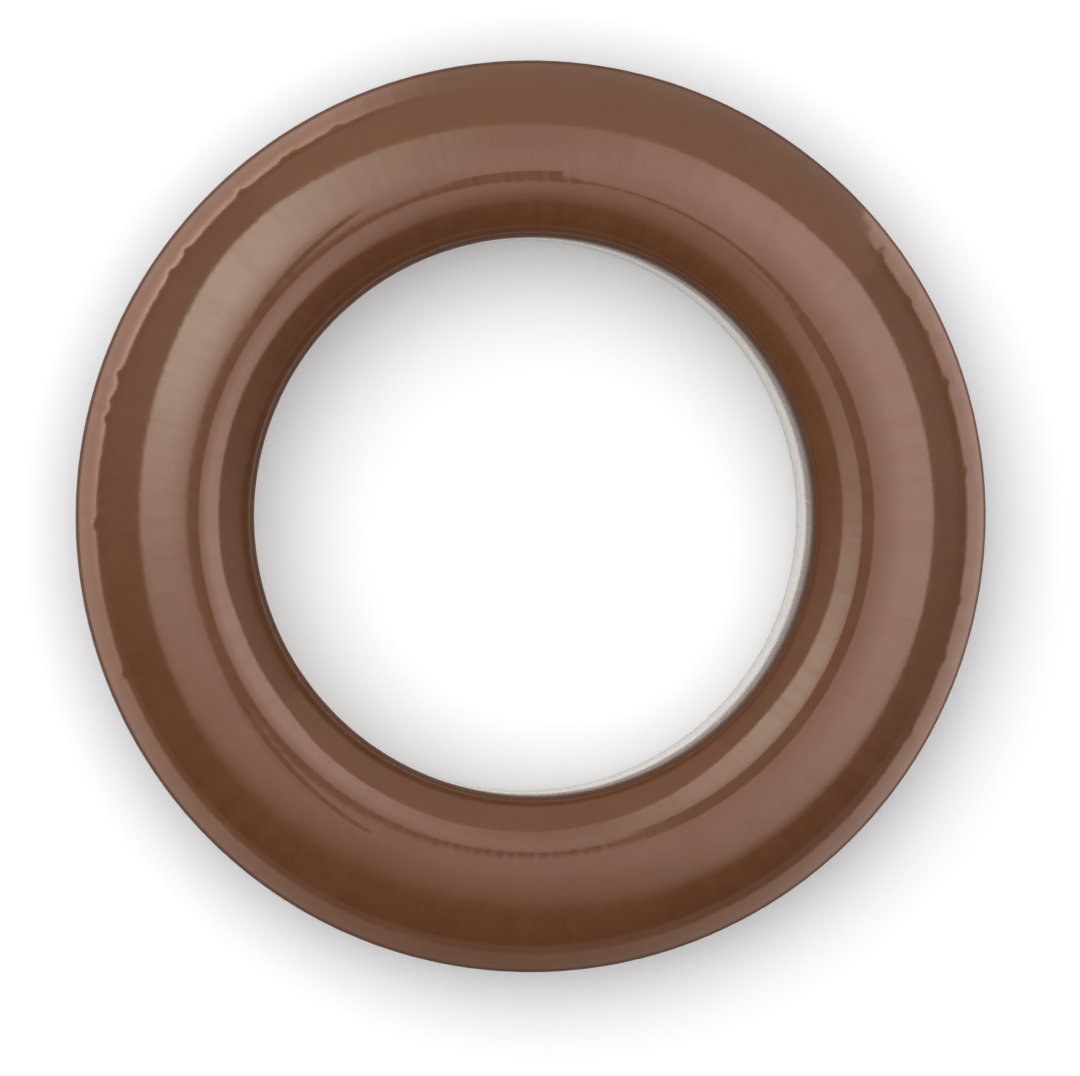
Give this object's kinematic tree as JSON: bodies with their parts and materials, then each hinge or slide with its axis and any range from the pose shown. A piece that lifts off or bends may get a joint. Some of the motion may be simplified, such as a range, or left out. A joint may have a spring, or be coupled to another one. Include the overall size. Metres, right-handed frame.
{
  "type": "grommet eyelet",
  "caption": "Drawn sheet-metal eyelet: painted domed ring flange rolling through a throat into a short plain barrel that is pressed through cloth or leather.",
  "frame": {"origin": "centre of the barrel's cut end, on the bore's axis", "axes": "+Z along the bore's axis from the barrel's cut end towards the domed flange; X and Y are free, because the part is round"},
  "size_m": [0.0228, 0.0228, 0.0059],
  "materials": {
    "painted_sheet": "glossy brown baked enamel over nickel-bright sheet, bare inside the barrel and underneath"
  },
  "bodies": {
    "root": {"eyelet": "painted_sheet"}
  },
  "joints": []
}
